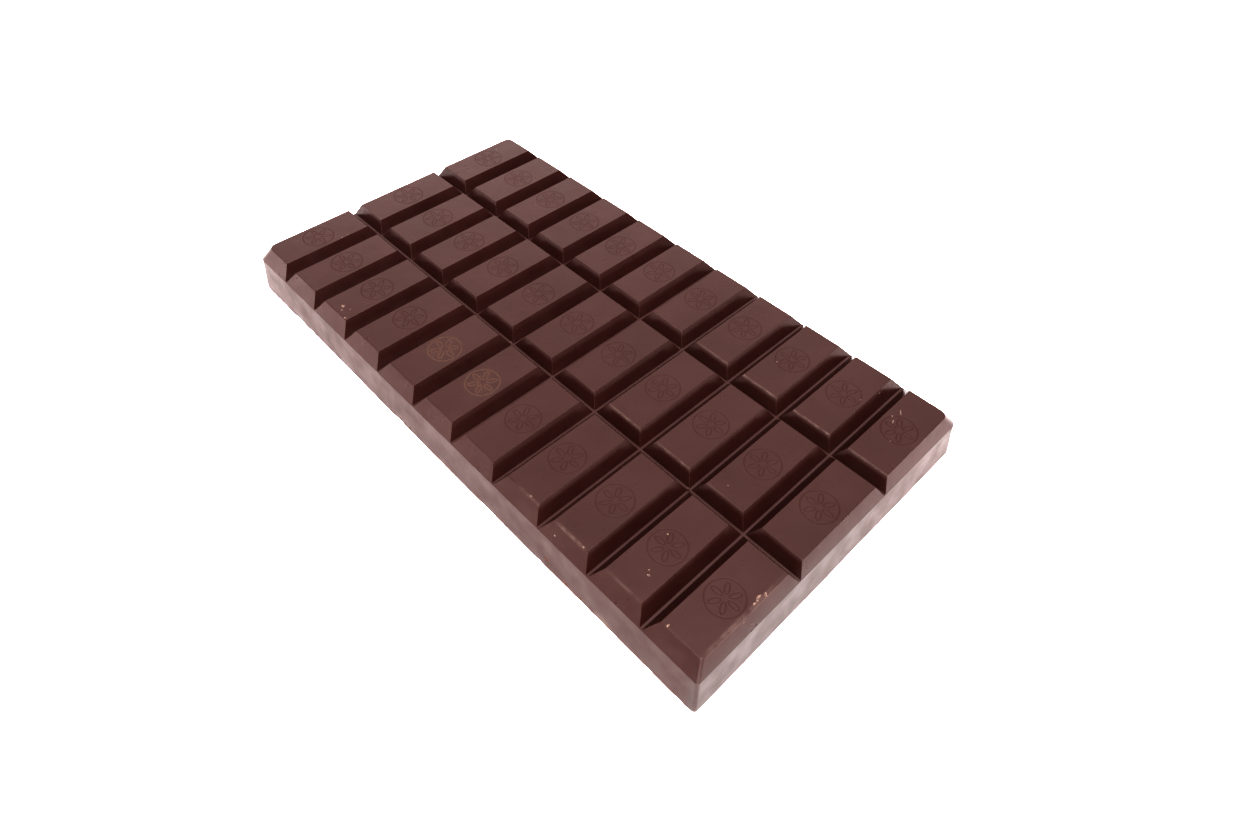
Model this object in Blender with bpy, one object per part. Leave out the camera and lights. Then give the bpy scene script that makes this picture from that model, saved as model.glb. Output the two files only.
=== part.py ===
"""A moulded bar of dark chocolate: one solid slab with a raised top that V-shaped grooves score into blocks.

The frame: +X runs along the length, +Y across the width and +Z up.
The origin is the middle of the flat underside. Sizes are in metres.
"""
import math

import bmesh
import bpy

OBJECT_NAME = "chocolate_bar"

# The score lines: eleven rows along the bar, three columns across it.
ROWS = 11
COLUMNS = 3
ROW_PITCH = 0.0114
COLUMN_PITCH = 0.0224

# Heights above the underside.
HEIGHT = 0.0100
RIM_HEIGHT = 0.0075
GROOVE_FLOOR_HEIGHT = 0.00765

# The slab narrows from the underside to its rim, and the blocks narrow on from there to their tops.
BASE_LENGTH = 0.1270
BASE_WIDTH = 0.0698
RIM_LENGTH = 0.1248
RIM_WIDTH = 0.0675
TOP_LENGTH = 0.1218
TOP_WIDTH = 0.0633
CORNER_RADIUS = 0.0013
CORNER_SEGMENTS = 4

# Groove sections: a narrow flat floor, opening to these widths at the tops of the blocks.
GROOVE_FLOOR_WIDTH = 0.00045
ROW_GROOVE_TOP_WIDTH = 0.0038
COLUMN_GROOVE_TOP_WIDTH = 0.0033
GROOVE_OVERSHOOT = 0.0010

# The soft edges that the mould gives each block.
EDGE_RADIUS = 0.00035
EDGE_SEGMENTS = 2
SHARPEST_KEPT_ANGLE = math.radians(30)
FLATNESS = 0.00001
QUARTER_TURN = math.pi / 2

CHOCOLATE_COLOUR = (0.072, 0.030, 0.024, 1.0)
CHOCOLATE_ROUGHNESS = 0.38


def clear_scene():
    """Remove every object that the file opened with."""
    for item in list(bpy.data.objects):
        bpy.data.objects.remove(item, do_unlink=True)


def new_collection(name):
    """Add a collection to the scene."""
    collection = bpy.data.collections.new(name)
    bpy.context.scene.collection.children.link(collection)
    return collection


def object_from_bmesh(name, shape, collection):
    """Turn an edited shape into a named object."""
    mesh = bpy.data.meshes.new(name)
    bmesh.ops.recalc_face_normals(shape, faces=shape.faces)
    shape.to_mesh(mesh)
    shape.free()
    item = bpy.data.objects.new(name, mesh)
    collection.objects.link(item)
    return item


def chocolate_material():
    """Dark, satin chocolate."""
    material = bpy.data.materials.new("dark_chocolate")
    material.use_nodes = True
    shader = material.node_tree.nodes["Principled BSDF"]
    shader.inputs["Base Color"].default_value = CHOCOLATE_COLOUR
    shader.inputs["Roughness"].default_value = CHOCOLATE_ROUGHNESS
    shader.inputs["Metallic"].default_value = 0.0
    return material


def draw_in(vertex, length, width):
    """Move a vertex of the base outline inwards, so that its level gets this length and width."""
    vertex.co.x += (length - BASE_LENGTH) / 2 * (1 if vertex.co.x > 0 else -1)
    vertex.co.y += (width - BASE_WIDTH) / 2 * (1 if vertex.co.y > 0 else -1)


def unscored_bar(collection):
    """The whole bar before scoring: a round-cornered box, drawn in at its rim and again at its top."""
    shape = bmesh.new()
    bmesh.ops.create_cube(shape, size=1)
    bmesh.ops.scale(shape, vec=(BASE_LENGTH, BASE_WIDTH, HEIGHT), verts=shape.verts)
    bmesh.ops.translate(shape, vec=(0, 0, HEIGHT / 2), verts=shape.verts)
    upright_edges = [edge for edge in shape.edges if abs(edge.verts[0].co.z - edge.verts[1].co.z) > FLATNESS]
    bmesh.ops.bevel(shape, geom=upright_edges, offset=CORNER_RADIUS, segments=CORNER_SEGMENTS,
                    profile=0.5, affect="EDGES")
    everything = list(shape.verts) + list(shape.edges) + list(shape.faces)
    bmesh.ops.bisect_plane(shape, geom=everything, plane_co=(0, 0, RIM_HEIGHT), plane_no=(0, 0, 1))
    for vertex in shape.verts:
        if vertex.co.z > HEIGHT - FLATNESS:
            draw_in(vertex, TOP_LENGTH, TOP_WIDTH)
        elif vertex.co.z > FLATNESS:
            draw_in(vertex, RIM_LENGTH, RIM_WIDTH)
    return object_from_bmesh(OBJECT_NAME, shape, collection)


def groove_cutter(name, length, top_width, collection):
    """A bar along X with the section of a groove, which runs on at the same slope above the blocks."""
    depth = HEIGHT - GROOVE_FLOOR_HEIGHT
    spread_per_height = (top_width - GROOVE_FLOOR_WIDTH) / depth
    upper_width = top_width + spread_per_height * GROOVE_OVERSHOOT
    shape = bmesh.new()
    bmesh.ops.create_cube(shape, size=1)
    for vertex in shape.verts:
        is_upper = vertex.co.z > 0
        vertex.co.x *= length
        vertex.co.y *= upper_width if is_upper else GROOVE_FLOOR_WIDTH
        vertex.co.z = HEIGHT + GROOVE_OVERSHOOT if is_upper else GROOVE_FLOOR_HEIGHT
    cutter = object_from_bmesh(name, shape, collection)
    cutter.hide_render = True
    cutter.display_type = "WIRE"
    return cutter


def cut(item, cutter):
    """Take the cutter's shape out of the item."""
    boolean = item.modifiers.new(cutter.name, "BOOLEAN")
    boolean.operation = "DIFFERENCE"
    boolean.solver = "EXACT"
    boolean.object = cutter


def score_rows(bar, cutters):
    """Cut the grooves that run across the bar, between neighbouring rows."""
    for index in range(ROWS - 1):
        cutter = groove_cutter(f"row_groove_{index + 1}", BASE_WIDTH + GROOVE_OVERSHOOT,
                               ROW_GROOVE_TOP_WIDTH, cutters)
        cutter.location.x = (index - (ROWS - 2) / 2) * ROW_PITCH
        cutter.rotation_euler.z = QUARTER_TURN
        cut(bar, cutter)


def score_columns(bar, cutters):
    """Cut the grooves that run along the bar, between neighbouring columns."""
    for index in range(COLUMNS - 1):
        cutter = groove_cutter(f"column_groove_{index + 1}", BASE_LENGTH + GROOVE_OVERSHOOT,
                               COLUMN_GROOVE_TOP_WIDTH, cutters)
        cutter.location.y = (index - (COLUMNS - 2) / 2) * COLUMN_PITCH
        cut(bar, cutter)


def soften_blocks(bar):
    """Round each block's top edges and the upright edges at its corners, once the grooves are cut."""
    depsgraph = bpy.context.evaluated_depsgraph_get()
    scored_mesh = bpy.data.meshes.new_from_object(bar.evaluated_get(depsgraph))
    shape = bmesh.new()
    shape.from_mesh(scored_mesh)
    block_edges = [
        edge for edge in shape.edges
        if max(vertex.co.z for vertex in edge.verts) > HEIGHT - FLATNESS
        and edge.is_convex
        and edge.calc_face_angle() > SHARPEST_KEPT_ANGLE
    ]
    bmesh.ops.bevel(shape, geom=block_edges, offset=EDGE_RADIUS, segments=EDGE_SEGMENTS,
                    profile=0.5, affect="EDGES", clamp_overlap=True)
    bar.modifiers.clear()
    shape.to_mesh(bar.data)
    shape.free()
    bpy.data.meshes.remove(scored_mesh)


def build_bar():
    """Model the scored bar."""
    cutters = new_collection("cutters")
    bar = unscored_bar(new_collection(OBJECT_NAME))
    score_rows(bar, cutters)
    score_columns(bar, cutters)
    soften_blocks(bar)
    bar.data.materials.append(chocolate_material())


clear_scene()
build_bar()
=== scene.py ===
import math

import bmesh
import bpy
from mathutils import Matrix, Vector, noise


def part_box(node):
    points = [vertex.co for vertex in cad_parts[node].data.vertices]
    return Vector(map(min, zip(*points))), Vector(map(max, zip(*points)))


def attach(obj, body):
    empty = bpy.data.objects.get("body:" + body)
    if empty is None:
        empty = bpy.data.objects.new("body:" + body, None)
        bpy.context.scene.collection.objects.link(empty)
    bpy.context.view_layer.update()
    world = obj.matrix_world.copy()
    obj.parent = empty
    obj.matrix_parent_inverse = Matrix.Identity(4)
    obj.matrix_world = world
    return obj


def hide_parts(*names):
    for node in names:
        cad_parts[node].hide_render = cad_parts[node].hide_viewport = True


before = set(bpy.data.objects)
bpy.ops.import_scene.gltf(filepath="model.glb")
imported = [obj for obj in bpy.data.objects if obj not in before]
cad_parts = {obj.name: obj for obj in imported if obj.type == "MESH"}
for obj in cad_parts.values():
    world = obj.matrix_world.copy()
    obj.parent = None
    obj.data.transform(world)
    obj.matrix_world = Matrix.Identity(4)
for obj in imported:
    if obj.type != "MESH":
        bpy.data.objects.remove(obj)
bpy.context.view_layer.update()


# The slab.
# One casting of dark chocolate, poured into a mould and turned out: a low block with slightly
# sloping sides. Its sides are a little wavy and its lower edge bulges and frays where the
# liquid chocolate met the top of the mould.
LOW, HIGH = (Vector(corner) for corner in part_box("chocolate_bar"))
LENGTH = HIGH.x - LOW.x
WIDTH = HIGH.y - LOW.y
HEIGHT = HIGH.z - LOW.z
RIM_HEIGHT = 0.0075
RIM_LENGTH = 0.1248
RIM_WIDTH = 0.0675
TOP_LENGTH = 0.1218
TOP_WIDTH = 0.0633
FAR_CORNER_RADIUS = 0.0016
NEAR_CORNER_RADIUS = 0.0006
FOOT_RADIUS = 0.00018
TINY = 0.00001


def pick(item, kind, test):
    """In edit mode, select only the vertices, edges or faces that pass a test."""
    bpy.ops.mesh.select_mode(type={"verts": "VERT", "edges": "EDGE", "faces": "FACE"}[kind])
    bpy.ops.mesh.select_all(action="DESELECT")
    shape = bmesh.from_edit_mesh(item.data)
    for element in getattr(shape, kind):
        if test(element):
            element.select_set(True)
    bmesh.update_edit_mesh(item.data)


def apply_place(item):
    """Move an object's place, turn and scale into its mesh."""
    bpy.ops.object.select_all(action="DESELECT")
    item.select_set(True)
    bpy.context.view_layer.objects.active = item
    bpy.ops.object.transform_apply(location=True, rotation=True, scale=True)


def is_upright(edge):
    """An edge that joins two heights."""
    return abs(edge.verts[0].co.z - edge.verts[1].co.z) > TINY


def is_level(edge, height):
    """An edge that lies all at one height."""
    return all(abs(vertex.co.z - height) < TINY for vertex in edge.verts)


def is_near_corner(edge):
    """An edge of the least worn corner."""
    return all(vertex.co.x > LENGTH / 2 - TINY and vertex.co.y < TINY - WIDTH / 2
               for vertex in edge.verts)


def add_node(material, kind, **values):
    """Add a node to a material; each value is a setting of its own, or an input by number."""
    new = material.node_tree.nodes.new("ShaderNode" + kind)
    for name, value in values.items():
        if name.startswith("in") and name[2:].isdigit():
            new.inputs[int(name[2:])].default_value = value
        else:
            setattr(new, name, value)
    return new


def mottling(material, scale, low, high, detail=4.0, stretch=(1, 1, 1)):
    """Cloudy patches over the piece, from 0 to 1."""
    place = add_node(material, "TexCoord")
    mapping = add_node(material, "Mapping", in3=stretch)
    noise_node = add_node(material, "TexNoise", in2=scale, in3=detail)
    spread = add_node(material, "MapRange", in1=low, in2=high)
    links = material.node_tree.links
    links.new(place.outputs["Object"], mapping.inputs["Vector"])
    links.new(mapping.outputs["Vector"], noise_node.inputs["Vector"])
    links.new(noise_node.outputs[0], spread.inputs[0])
    return spread.outputs[0]


def combined(material, operation, first, second):
    """Two patterns, or a pattern and a number, put together."""
    both = add_node(material, "Math", operation=operation)
    for socket, value in zip(both.inputs, (first, second)):
        if isinstance(value, (int, float)):
            socket.default_value = value
        else:
            material.node_tree.links.new(value, socket)
    return both.outputs[0]


def product(material, first, *others):
    """Patterns and numbers multiplied together."""
    for other in others:
        first = combined(material, "MULTIPLY", first, other)
    return first


def tinted(material, amount, under, over):
    """A colour laid over another where a pattern says."""
    mixer = add_node(material, "Mix", data_type="RGBA")
    sockets = (mixer.inputs[0], mixer.inputs[6], mixer.inputs[7])
    for socket, value in zip(sockets, (amount, under, over)):
        if isinstance(value, tuple):
            socket.default_value = (*value, 1)
        else:
            material.node_tree.links.new(value, socket)
    return mixer.outputs[2]


FULL_SHARE = 0.4  # of the reach of a patch, before it starts to fade


def near(material, axis, middle, reach):
    """1 about a place along an axis (0, 1 or 2), falling to 0 at the end of the reach."""
    place = add_node(material, "TexCoord")
    split = add_node(material, "SeparateXYZ")
    material.node_tree.links.new(place.outputs["Object"], split.inputs[0])
    away = combined(material, "SUBTRACT", split.outputs[axis], middle)
    away = combined(material, "ABSOLUTE", away, 0)
    fade = add_node(material, "MapRange", in1=reach, in2=reach * FULL_SHARE)
    material.node_tree.links.new(away, fade.inputs[0])
    return fade.outputs[0]


# What lies on the brown: bloom low on the sides, a reddish lip at the foot, a scrape on the near long
# side, a paler near end, two rubbed blocks beside that side, scuffs along folds, and painted
# highlights along two inner folds.
DEEP_BROWN = (0.053, 0.0155, 0.0115)
LIGHT_BROWN = (0.060, 0.0190, 0.0150)
FLECK_BROWN = (0.066, 0.0210, 0.0165)
BLOOM_COLOUR = (0.085, 0.045, 0.038)
BLOOM_REACH = 0.0115
LIP_COLOUR = (0.120, 0.042, 0.027)
LIP_REACH = 0.0006
SCRAPE_COLOUR = (0.130, 0.080, 0.066)
SCRAPE = ((0, 0.0443, 0.0024), (2, 0.0004, 0.0019), (1, -WIDTH / 2, 0.0040))  # axis, middle, reach
END_COLOUR = (0.075, 0.052, 0.048)
# The near short side is painted paler, most low down and towards the near long side.
PALE_END = ((0, LENGTH / 2, 0.0030), (2, 0, 0.0180), (1, -WIDTH / 2, 0.0620))  # axis, middle, reach
RUBBED_COLOUR = (0.100, 0.052, 0.036)
RUBBED_LENGTH, RUBBED_WIDTH = 0.0040, 0.0046
RUBBED_SPOTS = ((-0.0114, -0.0224), (0, -0.0224))
# Pale lines along folds. The four on the near long side's outer fold and the one on the near corner
# block's end fold are scuffs. The last two, on inner folds of the middle and far columns, are painted
# highlights: a paler colour stands in for light caught by the rounded fold.
SCUFF_AND_HIGHLIGHT_COLOUR = (0.130, 0.085, 0.074)
SCUFF_AND_HIGHLIGHT_DEPTH = 0.0004
SCUFFS_AND_PAINTED_HIGHLIGHTS = (  # middle and reach along the bar, middle and reach across it, strength
    (0.0340, 0.0040, -0.03165, 0.00035, 0.8),
    (0.0245, 0.0040, -0.03165, 0.00030, 0.5),
    (0.0455, 0.0042, -0.03165, 0.00030, 0.5),
    (0.0560, 0.0046, -0.03165, 0.00030, 0.15),
    (0.0607, 0.0005, -0.02250, 0.0120, 0.6),
    (0.0400, 0.0300, 0.01290, 0.00030, 0.85),
    (0.0300, 0.0180, -0.00950, 0.00030, 0.7))
CHOCOLATE_IOR = 1.5
FILM_ROUGHNESS = 0.28


def patch(material, limits):
    """1 where the piece is near every one of the places, each given as axis, middle and reach."""
    return product(material, *(near(material, *limit) for limit in limits))


def chocolate_colour(material):
    """Mottled brown, with what handling and the mould have left on it, a paler near end, and
    highlights painted along two inner folds.
    """
    brown = tinted(material, mottling(material, 90, 0.35, 0.65), DEEP_BROWN, LIGHT_BROWN)
    fleck = product(material, mottling(material, 900, 0.50, 0.80, 3), 0.3)
    brown = tinted(material, fleck, brown, FLECK_BROWN)
    bloom = mottling(material, 210, 0.42, 0.68, 6, (1, 1, 1.6))
    bloom = product(material, bloom, near(material, 2, 0, BLOOM_REACH), 0.42)
    brown = tinted(material, bloom, brown, BLOOM_COLOUR)
    lip = product(material, near(material, 2, 0, LIP_REACH), mottling(material, 500, 0.35, 0.60), 0.5)
    brown = tinted(material, lip, brown, LIP_COLOUR)
    brown = tinted(material, product(material, patch(material, SCRAPE), 0.5), brown, SCRAPE_COLOUR)
    brown = tinted(material, product(material, patch(material, PALE_END), 0.6), brown, END_COLOUR)
    for along, across in RUBBED_SPOTS:
        spot = patch(material, ((0, along, RUBBED_LENGTH), (1, across, RUBBED_WIDTH)))
        spot = product(material, spot, mottling(material, 420, 0.35, 0.75, 5), 0.32)
        brown = tinted(material, spot, brown, RUBBED_COLOUR)
    # Scuffs, and on two inner folds painted highlights.
    for along, reach, across, width, strength in SCUFFS_AND_PAINTED_HIGHLIGHTS:
        line = patch(material, ((0, along, reach), (1, across, width), (2, HEIGHT, SCUFF_AND_HIGHLIGHT_DEPTH)))
        line = product(material, line, mottling(material, 700, 0.25, 0.60, 4), strength)
        brown = tinted(material, line, brown, SCUFF_AND_HIGHLIGHT_COLOUR)
    return brown


def dark_chocolate(name, gloss, smooth, rough):
    """Tempered chocolate under a satin film of fat, with a fine skin and slow waves in it."""
    material = bpy.data.materials.new(name)
    material.use_nodes = True
    links = material.node_tree.links
    shader = material.node_tree.nodes["Principled BSDF"]
    links.new(chocolate_colour(material), shader.inputs["Base Color"])
    roughness = add_node(material, "MapRange", in3=smooth, in4=rough)
    links.new(mottling(material, 260, 0.35, 0.65, 6), roughness.inputs[0])
    links.new(roughness.outputs[0], shader.inputs["Roughness"])
    skin = add_node(material, "Bump", in0=0.25, in1=0.00004)
    links.new(mottling(material, 1700, 0, 1, 5), skin.inputs["Height"])
    waves = add_node(material, "Bump", in0=0.33, in1=0.00030)
    links.new(mottling(material, 160, 0, 1, 2), waves.inputs["Height"])
    links.new(waves.outputs["Normal"], skin.inputs["Normal"])
    links.new(skin.outputs["Normal"], shader.inputs["Normal"])
    links.new(waves.outputs["Normal"], shader.inputs["Coat Normal"])
    shader.inputs["IOR"].default_value = CHOCOLATE_IOR
    shader.inputs["Coat Weight"].default_value = gloss
    shader.inputs["Coat Roughness"].default_value = FILM_ROUGHNESS
    shader.inputs["Coat IOR"].default_value = CHOCOLATE_IOR
    return material


bpy.ops.object.select_all(action="DESELECT")
bpy.ops.mesh.primitive_cube_add(size=1, location=(0, 0, HEIGHT / 2))
bar = bpy.context.active_object
bar.name = "bar"
bar.data.materials.append(dark_chocolate("dark_chocolate", 0.58, 0.27, 0.36))
bar.scale = (LENGTH, WIDTH, HEIGHT)
apply_place(bar)
bpy.ops.object.mode_set(mode="EDIT")
pick(bar, "edges", lambda edge: is_upright(edge) and not is_near_corner(edge))
bpy.ops.mesh.bevel(offset=FAR_CORNER_RADIUS, segments=6, affect="EDGES")
pick(bar, "edges", lambda edge: is_upright(edge) and is_near_corner(edge))
bpy.ops.mesh.bevel(offset=NEAR_CORNER_RADIUS, segments=5, affect="EDGES")
bpy.ops.mesh.select_all(action="SELECT")
bpy.ops.mesh.bisect(plane_co=(0, 0, RIM_HEIGHT), plane_no=(0, 0, 1))
pick(bar, "verts", lambda vertex: abs(vertex.co.z - RIM_HEIGHT) < TINY)
bpy.ops.transform.resize(value=(RIM_LENGTH / LENGTH, RIM_WIDTH / WIDTH, 1))
pick(bar, "verts", lambda vertex: vertex.co.z > HEIGHT - TINY)
bpy.ops.transform.resize(value=(TOP_LENGTH / LENGTH, TOP_WIDTH / WIDTH, 1))

# The side walls are divided about every three quarters of a millimetre, to carry the waves.
LONG_EDGE = 0.02
CUTS_ALONG, CUTS_ACROSS, CUTS_UP = 168, 92, 8
for axis, cuts in ((0, CUTS_ALONG), (1, CUTS_ACROSS)):
    pick(bar, "edges", lambda edge: (
        (is_level(edge, 0) or is_level(edge, RIM_HEIGHT))
        and abs(edge.verts[0].co[axis] - edge.verts[1].co[axis]) > LONG_EDGE))
    bpy.ops.mesh.subdivide(number_cuts=cuts)
pick(bar, "edges", lambda edge: (
    is_upright(edge) and max(vertex.co.z for vertex in edge.verts) < RIM_HEIGHT + TINY))
bpy.ops.mesh.subdivide(number_cuts=CUTS_UP)
pick(bar, "edges", lambda edge: (
    is_level(edge, 0) and any(abs(face.normal.z) < 0.5 for face in edge.link_faces)))
bpy.ops.mesh.bevel(offset=FOOT_RADIUS, segments=2, affect="EDGES")
bpy.ops.object.mode_set(mode="OBJECT")

# The waves run in from the slab's box, so that nothing stands outside it.
BULGE_DEPTH = 0.00014
BULGE_PLACE = 0.004
BULGE_REACH = 0.030
FRAY_DEPTH = 0.00022
FRAY_HEIGHT = 0.0016
FRAYS_PER_METRE = 650
WAVE_DEPTH = 0.00012
WAVES_PER_METRE = 90
RIM_SHARE = 0.03
WALL_REACH = 0.002
for vertex in bar.data.vertices:
    depth_share = 1 - vertex.co.z / RIM_HEIGHT
    if depth_share < RIM_SHARE:
        continue
    side = 1 if vertex.co.y > 0 else -1
    wave = 0.5 + 0.5 * noise.noise(vertex.co * WAVES_PER_METRE)
    wave_in = WAVE_DEPTH * wave * min(1, 3 * depth_share)
    bulge = math.exp(-((vertex.co.x - BULGE_PLACE) / BULGE_REACH) ** 2)
    bulge_in = BULGE_DEPTH * (1 - bulge) * depth_share ** 1.5
    fray = max(0, noise.noise(Vector((vertex.co.x * FRAYS_PER_METRE, side * 5, 0.5))))
    fray_in = FRAY_DEPTH * fray * max(0, 1 - vertex.co.z / FRAY_HEIGHT)
    if abs(vertex.co.y) > RIM_WIDTH / 2 - WALL_REACH:
        vertex.co.y -= side * (bulge_in + wave_in + fray_in)
    if abs(vertex.co.x) > RIM_LENGTH / 2 - WALL_REACH:
        vertex.co.x -= math.copysign(wave_in, vertex.co.x)

# The sides have rubbed along the tray and are duller than the moulded top.
bar.data.materials.append(dark_chocolate("dull_chocolate", 0.28, 0.34, 0.46))
for face in bar.data.polygons:
    if face.center.z < RIM_HEIGHT:
        face.material_index = 1


# The score lines.
# V-shaped grooves with a narrow flat floor, moulded into the top so that it breaks into
# three columns of eleven blocks. Each block's edges come out of the mould softly rounded.
ROWS = 11
COLUMNS = 3
ROW_PITCH = 0.0114
COLUMN_PITCH = 0.0224
GROOVE_FLOOR_HEIGHT = 0.00765
GROOVE_FLOOR_WIDTH = 0.00045
ROW_GROOVE_WIDTH = 0.0038
COLUMN_GROOVE_WIDTH = 0.0033
OVERSHOOT = 0.0010


def groove_cutter(top_width, length):
    """A bar along X with the section of a groove, taller than the blocks."""
    depth = HEIGHT - GROOVE_FLOOR_HEIGHT
    upper_width = top_width + (top_width - GROOVE_FLOOR_WIDTH) / depth * OVERSHOOT
    bpy.ops.object.select_all(action="DESELECT")
    middle = GROOVE_FLOOR_HEIGHT + (depth + OVERSHOOT) / 2
    bpy.ops.mesh.primitive_cube_add(size=1, location=(0, 0, middle))
    cutter = bpy.context.active_object
    cutter.scale = (length, upper_width, depth + OVERSHOOT)
    apply_place(cutter)
    bpy.ops.object.mode_set(mode="EDIT")
    pick(cutter, "verts", lambda vertex: vertex.co.z < GROOVE_FLOOR_HEIGHT + TINY)
    bpy.ops.transform.resize(value=(1, GROOVE_FLOOR_WIDTH / upper_width, 1))
    bpy.ops.object.mode_set(mode="OBJECT")
    return cutter


def copies_of(item, places, turn=0):
    """Copy a cutter, mesh and all, to each place, join the copies and remove the first one."""
    copies = []
    for place in places:
        copy = item.copy()
        copy.data = item.data.copy()
        copy.location = place
        copy.rotation_euler.z = turn
        bpy.context.collection.objects.link(copy)
        copies.append(copy)
    bpy.data.objects.remove(item)
    bpy.ops.object.select_all(action="DESELECT")
    for copy in copies:
        copy.select_set(True)
    bpy.context.view_layer.objects.active = copies[0]
    bpy.ops.object.join()
    apply_place(copies[0])
    return copies[0]


def carve(item, cutter):
    """Take a cutter's shape out of the item, and remove the cutter."""
    bpy.ops.object.select_all(action="DESELECT")
    bpy.context.view_layer.objects.active = item
    item.select_set(True)
    boolean = item.modifiers.new("carve", "BOOLEAN")
    boolean.operation = "DIFFERENCE"
    boolean.solver = "EXACT"
    boolean.material_mode = "TRANSFER"
    boolean.object = cutter
    bpy.ops.object.modifier_apply(modifier=boolean.name)
    bpy.data.objects.remove(cutter)


row_places = [((index - (ROWS - 2) / 2) * ROW_PITCH, 0, 0) for index in range(ROWS - 1)]
column_places = [(0, (index - (COLUMNS - 2) / 2) * COLUMN_PITCH, 0) for index in range(COLUMNS - 1)]
row_cutter = groove_cutter(ROW_GROOVE_WIDTH, WIDTH + OVERSHOOT)
carve(bar, copies_of(row_cutter, row_places, math.pi / 2))
column_cutter = groove_cutter(COLUMN_GROOVE_WIDTH, LENGTH + OVERSHOOT)
carve(bar, copies_of(column_cutter, column_places))

# The folds along the bar's outside are the softest, then the ones up its corners and blocks.
OUTER_FOLD = 0.00060
INNER_FOLD_SHARE = 0.45
HIP_SHARE = 0.80
SHARP = math.radians(30)


def fold_share(edge):
    """How much of the outer folds' rounding an edge gets."""
    first, second = (vertex.co for vertex in edge.verts)
    if max(first.z, second.z) < HEIGHT - TINY:
        return 0
    if not edge.is_convex or edge.calc_face_angle() < SHARP:
        return 0
    if abs(first.z - second.z) > TINY:
        return HIP_SHARE
    outside = (min(abs(first.x), abs(second.x)) > TOP_LENGTH / 2 - TINY
               or min(abs(first.y), abs(second.y)) > TOP_WIDTH / 2 - TINY)
    return 1 if outside else INNER_FOLD_SHARE


shape = bmesh.new()
shape.from_mesh(bar.data)
rounding = shape.edges.layers.float.new("bevel_weight_edge")
for edge in shape.edges:
    edge[rounding] = fold_share(edge)
shape.to_mesh(bar.data)
shape.free()
bevel = bar.modifiers.new("folds", "BEVEL")
bevel.limit_method = "WEIGHT"
bevel.width = OUTER_FOLD
bevel.segments = 4
bpy.ops.object.modifier_apply(modifier=bevel.name)


# The rosettes.
# A plain six-petalled flower in a ring is engraved, finely and shallowly, in the middle of each
# block. It is part of the mould, so every block has the same one. Two of them are rubbed pale.
RING_RADIUS = 0.0031
PETALS = 6
PETAL_LENGTH = 0.0019
PETAL_WIDTH = 0.0008
PETAL_PLACE = 0.00162
LINE_RADIUS = 0.00016
LINE_DEPTH = 0.00003
LINE_LIFT = 0.000003


def engraving_rod(length, width, place, turn):
    """A closed oval rod, flattened to the shallow V of an engraved line."""
    bpy.ops.object.select_all(action="DESELECT")
    bpy.ops.curve.primitive_bezier_circle_add(radius=0.5)
    rod = bpy.context.active_object
    rod.scale = (length, width, 1)
    apply_place(rod)
    for point in rod.data.splines[0].bezier_points:
        point.radius = 1  # applying the scale has thinned the rod
    rod.data.bevel_depth = LINE_RADIUS
    rod.data.bevel_resolution = 0
    rod.data.resolution_u = 14
    bpy.ops.object.convert(target="MESH")
    rod = bpy.context.active_object
    rod.location = place
    rod.rotation_euler.z = turn
    rod.scale.z = (LINE_DEPTH + LINE_LIFT) / LINE_RADIUS
    apply_place(rod)
    return rod


def rosette_cutter():
    """The ring and its petals; no two rods touch."""
    line_height = HEIGHT + LINE_LIFT
    rods = [engraving_rod(2 * RING_RADIUS, 2 * RING_RADIUS, (0, 0, line_height), 0)]
    for petal in range(PETALS):
        angle = petal * math.tau / PETALS
        place = (PETAL_PLACE * math.cos(angle), PETAL_PLACE * math.sin(angle), line_height)
        rods.append(engraving_rod(PETAL_LENGTH, PETAL_WIDTH, place, angle))
    bpy.ops.object.select_all(action="DESELECT")
    for rod in rods:
        rod.select_set(True)
    bpy.context.view_layer.objects.active = rods[0]
    bpy.ops.object.join()
    return rods[0]


def bare_chocolate(name, pale, dark, grain_strength=0.6):
    """Chocolate whose skin is gone: paler, matt and grainy."""
    material = bpy.data.materials.new(name)
    material.use_nodes = True
    shader = material.node_tree.nodes["Principled BSDF"]
    crumb = mottling(material, 3200, 0.35, 0.65, 4)
    material.node_tree.links.new(tinted(material, crumb, dark, pale), shader.inputs["Base Color"])
    grain = add_node(material, "Bump", in0=grain_strength, in1=0.00006)
    material.node_tree.links.new(crumb, grain.inputs["Height"])
    material.node_tree.links.new(grain.outputs["Normal"], shader.inputs["Normal"])
    shader.inputs["Roughness"].default_value = 0.75
    return material


block_places = [((row - (ROWS - 1) / 2) * ROW_PITCH, (column - (COLUMNS - 1) / 2) * COLUMN_PITCH, 0)
                for row in range(ROWS) for column in range(COLUMNS)]
rubbed_places = [(along, across, 0) for along, across in RUBBED_SPOTS]
plain_places = [place for place in block_places
                if all(math.dist(place, rubbed) > TINY for rubbed in rubbed_places)]
engraved = dark_chocolate("engraved_chocolate", 0.25, 0.32, 0.42)
plain_cutter = rosette_cutter()
plain_cutter.data.materials.append(engraved)
carve(bar, copies_of(plain_cutter, plain_places))
rubbed = bare_chocolate("rubbed_chocolate", (0.116, 0.070, 0.056), (0.104, 0.061, 0.048), 0.1)
rubbed_cutter = rosette_cutter()
rubbed_cutter.data.materials.append(rubbed)
carve(bar, copies_of(rubbed_cutter, rubbed_places))


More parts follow.
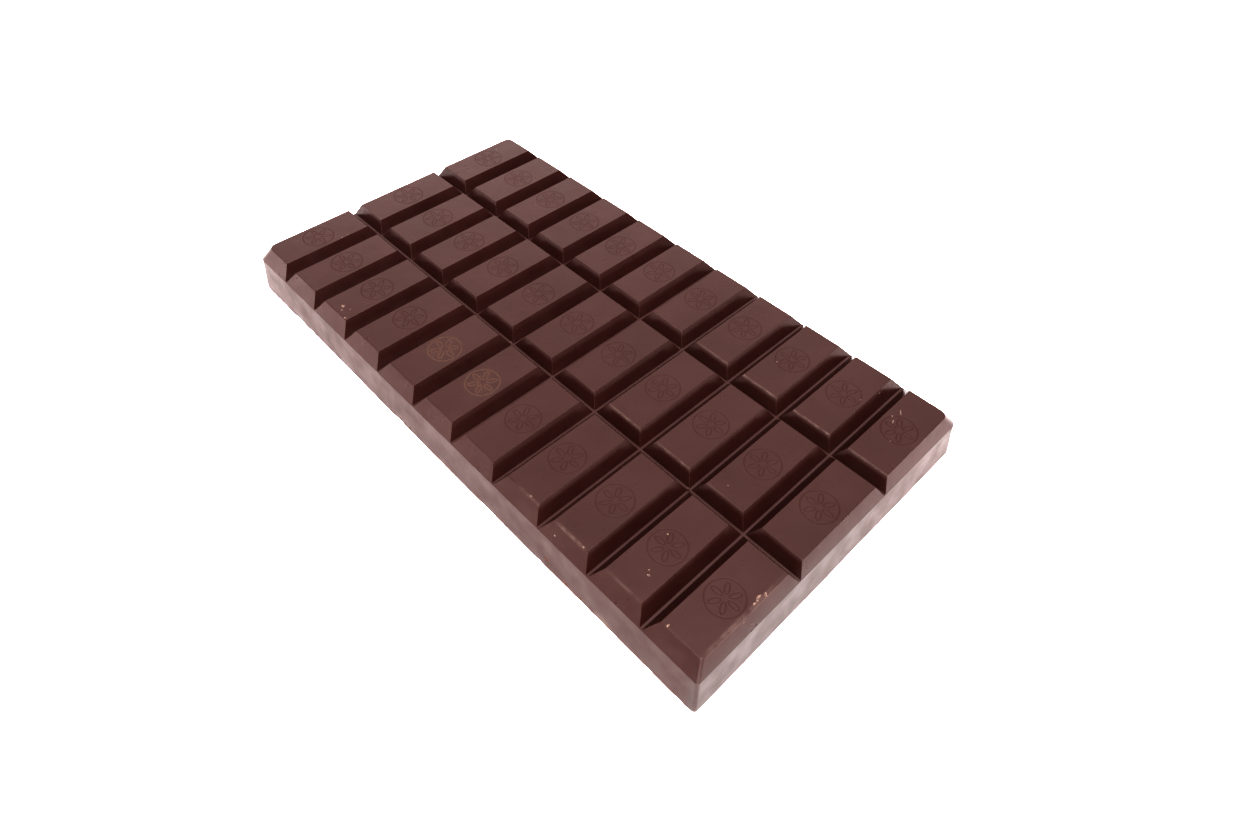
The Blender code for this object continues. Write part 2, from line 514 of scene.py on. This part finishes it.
# The chips and specks.
# Handling has knocked small bits out of the skin: chips on two corner blocks, pin-head dents on
# the tops and along their folds, and crumbly spots low on one long side. Broken chocolate is
# paler and matt. Each is a shallow dent, so that nothing stands above the blocks.
PEBBLE_ROUGHNESS = 0.5
PEBBLE_LUMPS = 3.1
DENT_DEPTH = 0.00012
DENT_LIFT = 0.000013
TOP_DENTS = (  # place along and across the bar, length and width of the dent, turn in degrees
    (-0.0343, -0.0299, 0.0009, 0.0006, 20), (-0.0335, -0.0306, 0.0005, 0.0004, 70),
    (-0.0311, -0.0314, 0.0006, 0.0004, 10), (-0.0326, -0.0294, 0.0003, 0.0003, 0),
    (0.0603, -0.0190, 0.0006, 0.0012, 10), (0.0608, -0.0178, 0.0005, 0.0009, 60),
    (0.0605, -0.0201, 0.0004, 0.0006, 0), (0.0612, -0.0231, 0.0003, 0.0004, 0),
    (0.0619, -0.0221, 0.0003, 0.0004, 0), (0.0550, 0.0260, 0.0003, 0.0012, 35),
    (0.0552, 0.0233, 0.0003, 0.0009, 20), (0.0544, 0.0243, 0.0003, 0.0004, 0),
    (0.0470, -0.0278, 0.0006, 0.0004, 30), (0.0464, -0.0272, 0.0003, 0.0003, 0),
    (0.0543, -0.0314, 0.0004, 0.0006, 0), (0.0318, -0.0329, 0.0005, 0.0004, 0),
    (0.0370, -0.0316, 0.0005, 0.0004, 0), (0.0246, -0.0315, 0.0006, 0.0003, 0),
    (-0.0066, -0.0110, 0.0004, 0.0003, 0), (0.0326, 0.0199, 0.0003, 0.0003, 0),
    (0.0441, -0.0208, 0.0004, 0.0003, 40), (0.0572, 0.0193, 0.0003, 0.0003, 0),
    (0.0302, -0.0169, 0.0004, 0.0003, 0), (0.0485, 0.0234, 0.0003, 0.0003, 0),
    (0.0445, -0.0074, 0.0003, 0.0002, 0), (-0.0590, 0.0265, 0.0005, 0.0004, 0),
    (0.0497, 0.0276, 0.0003, 0.0003, 0), (-0.0535, -0.0188, 0.0004, 0.0003, 0),
    (-0.0536, -0.0175, 0.0003, 0.0003, 0), (-0.0536, 0.0276, 0.0003, 0.0003, 0),
    (-0.0513, -0.0323, 0.0004, 0.0003, 0), (-0.0396, -0.0326, 0.0005, 0.0003, 30),
    (-0.0398, -0.0319, 0.0003, 0.0003, 0))
SIDE_DENTS = (  # place along the bar and height, length and height of the dent
    (0.0312, 0.0022, 0.0012, 0.0009), (0.0318, 0.0011, 0.0006, 0.0004),
    (0.0357, 0.0009, 0.0012, 0.0007), (0.0372, 0.0007, 0.0006, 0.0003),
    (0.0392, 0.0007, 0.0009, 0.0005), (-0.0104, 0.0008, 0.0009, 0.0004),
    (-0.0090, 0.0007, 0.0007, 0.0005), (-0.0074, 0.0008, 0.0008, 0.0005),
    (-0.0060, 0.0007, 0.0006, 0.0004), (-0.0129, 0.0007, 0.0007, 0.0003))


def pebble():
    """A rough little ball, the shape of the dent that a knock leaves."""
    bpy.ops.object.select_all(action="DESELECT")
    bpy.ops.mesh.primitive_ico_sphere_add(subdivisions=2, radius=0.5)
    ball = bpy.context.active_object
    for vertex in ball.data.vertices:
        vertex.co *= 1 + PEBBLE_ROUGHNESS * noise.noise(vertex.co * PEBBLE_LUMPS)
    return ball


def dents_cutter(spots, material):
    """Copy a pebble to each spot: the point it presses on, its sizes and its turn."""
    first = pebble()
    first.data.materials.append(material)
    copies = []
    for point, size, turn in spots:
        copy = first.copy()
        copy.data = first.data.copy()
        copy.location = point
        copy.scale = size
        copy.rotation_euler.z = turn
        bpy.context.collection.objects.link(copy)
        copies.append(copy)
    bpy.data.objects.remove(first)
    bpy.ops.object.select_all(action="DESELECT")
    for copy in copies:
        copy.select_set(True)
    bpy.context.view_layer.objects.active = copies[0]
    bpy.ops.object.join()
    apply_place(copies[0])
    return copies[0]


def surface_point(start, direction):
    """A point just outside the place where a line from outside first meets the bar."""
    point = bar.ray_cast(start, direction)[1]
    return point - Vector(direction) * DENT_LIFT


ABOVE_BAR = 0.02
BESIDE_BAR = -0.05
bpy.context.view_layer.update()
top_spots = []
for along, across, length, width, turn in TOP_DENTS:
    point = surface_point((along, across, ABOVE_BAR), (0, 0, -1))
    top_spots.append((point, (length, width, 2 * DENT_DEPTH), math.radians(turn)))
side_spots = []
for along, height, length, tall in SIDE_DENTS:
    point = surface_point((along, BESIDE_BAR, height), (0, 1, 0))
    side_spots.append((point, (length, 2 * DENT_DEPTH, tall), 0))
chipped = bare_chocolate("chipped_chocolate", (0.29, 0.225, 0.195), (0.14, 0.095, 0.082))
crumbly = bare_chocolate("crumbly_chocolate", (0.20, 0.125, 0.095), (0.13, 0.070, 0.050))
all_dents = dents_cutter(side_spots, crumbly)
dents_cutter(top_spots, chipped).select_set(True)
all_dents.select_set(True)
bpy.context.view_layer.objects.active = all_dents
bpy.ops.object.join()
carve(bar, all_dents)


# The finish.
# The bar is smooth all over, but for its flat faces and the crisp edges of its score lines,
# rosettes and dents. Faces thinner than a micrometre, left by the carving, are closed up.
SMOOTH_ANGLE = math.radians(25)
WELD_DISTANCE = 0.000001
bpy.ops.object.select_all(action="DESELECT")
bar.select_set(True)
bpy.context.view_layer.objects.active = bar
bpy.ops.object.shade_smooth_by_angle(angle=SMOOTH_ANGLE)
bpy.ops.object.mode_set(mode="EDIT")
bpy.ops.mesh.select_all(action="SELECT")
bpy.ops.mesh.remove_doubles(threshold=WELD_DISTANCE)
bpy.ops.mesh.quads_convert_to_tris(quad_method="BEAUTY", ngon_method="BEAUTY")
pick(bar, "edges", lambda edge: len({face.material_index for face in edge.link_faces}) > 1)
bpy.ops.mesh.mark_sharp()
bpy.ops.object.mode_set(mode="OBJECT")
weighted = bar.modifiers.new("flat_faces", "WEIGHTED_NORMAL")
weighted.keep_sharp = True
weighted.weight = 100
bpy.ops.object.modifier_apply(modifier=weighted.name)
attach(bar, "root")
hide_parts("chocolate_bar")


# The crumb.
# One knocked-off crumb of the same chocolate has rolled into the crossing of two score lines.
# It is a rough little lump with a pale broken face, and rests on the groove's floor.
CRUMB_SIZE = (0.00055, 0.00042, 0.00040)
CRUMB_PLACE = (0.0396, -0.0113)
CRUMB_NOISE = ((0.35, 2.3), (0.10, 9.0))  # depth and fineness
bpy.ops.object.select_all(action="DESELECT")
bpy.ops.mesh.primitive_ico_sphere_add(subdivisions=4, radius=0.5)
crumb = bpy.context.active_object
crumb.name = "crumb"
for vertex in crumb.data.vertices:
    vertex.co *= 1 + sum(depth * noise.noise(vertex.co * fineness) for depth, fineness in CRUMB_NOISE)
crumb.scale = CRUMB_SIZE
apply_place(crumb)
crumb_base = min(vertex.co.z for vertex in crumb.data.vertices)
crumb.location = (*CRUMB_PLACE, GROOVE_FLOOR_HEIGHT - crumb_base)
apply_place(crumb)
bpy.ops.object.shade_smooth()
crumb.data.materials.append(
    bare_chocolate("crumb_chocolate", (0.16, 0.100, 0.080), (0.09, 0.050, 0.038)))
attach(crumb, "root")


# The stage.
# A plain matt white table under a soft white studio sky, and the camera above the bar's
# front corner.
bpy.ops.object.select_all(action="DESELECT")
bpy.ops.mesh.primitive_plane_add(size=4, location=(0, 0, 0))
table = bpy.context.active_object
table.name = "table"
white = bpy.data.materials.new("white_table")
white.use_nodes = True
paint = white.node_tree.nodes["Principled BSDF"]
paint.inputs["Base Color"].default_value = (0.88, 0.88, 0.88, 1)
paint.inputs["Roughness"].default_value = 0.8
paint.inputs["Specular IOR Level"].default_value = 0.1
table.data.materials.append(white)

# The studio is brightest overhead, greyer behind, and dimmest high to the left and the right.
DIAGONAL = 0.5 ** 0.5
LAMP_LINE = (0.287, -0.241, 0.927)
LEFT_LINE = (-DIAGONAL, -DIAGONAL, 0)
RIGHT_LINE = (DIAGONAL, DIAGONAL, 0)
BEHIND_LINE = (-DIAGONAL, DIAGONAL, 0)
OVERHEAD = 3.40
AROUND = 1.20
BEHIND = 0.74
BESIDE = 0.10
sky = bpy.data.worlds.new("soft_sky")
sky.use_nodes = True


def share(world, line, low, high):
    """How far the sky's direction lies along a line, smoothly from 0 to 1 between two limits."""
    place = add_node(world, "TexCoord")
    along = add_node(world, "VectorMath", operation="DOT_PRODUCT", in1=line)
    smooth = add_node(world, "MapRange", interpolation_type="SMOOTHSTEP", in1=low, in2=high)
    world.node_tree.links.new(place.outputs["Generated"], along.inputs[0])
    world.node_tree.links.new(along.outputs["Value"], smooth.inputs[0])
    return smooth.outputs[0]


beside = combined(sky, "ADD", share(sky, RIGHT_LINE, 0.30, 0.62), share(sky, LEFT_LINE, 0.30, 0.62))
high_beside = product(sky, beside, share(sky, (0, 0, 1), 0.12, 0.32))
behind = share(sky, BEHIND_LINE, 0.20, 0.55)
less = combined(sky, "MAXIMUM", product(sky, high_beside, AROUND - BESIDE),
                product(sky, behind, AROUND - BEHIND))
more = product(sky, share(sky, LAMP_LINE, 0.90, 0.97), OVERHEAD)
brightness = combined(sky, "ADD", combined(sky, "SUBTRACT", AROUND, less), more)
background = sky.node_tree.nodes["Background"]
sky.node_tree.links.new(brightness, background.inputs["Strength"])
background.inputs["Color"].default_value = (1, 1, 1, 1)
bpy.context.scene.world = sky

# Low gamma makes the contrast of a studio picture.
view = bpy.context.scene.view_settings
view.view_transform = "Standard"
view.exposure = 1.66
view.gamma = 0.45

CAMERA_PLACE = (0.08127, -0.06811, 0.10898)
CAMERA_TURN = (39.918, -0.943, 46.084)
camera_lens = bpy.data.cameras.new("camera")
camera_lens.lens = 21.754
camera_lens.sensor_width = 36
camera_lens.clip_start = 0.005
camera = bpy.data.objects.new("camera", camera_lens)
camera.location = CAMERA_PLACE
camera.rotation_euler = [math.radians(angle) for angle in CAMERA_TURN]
bpy.context.collection.objects.link(camera)
bpy.context.scene.camera = camera
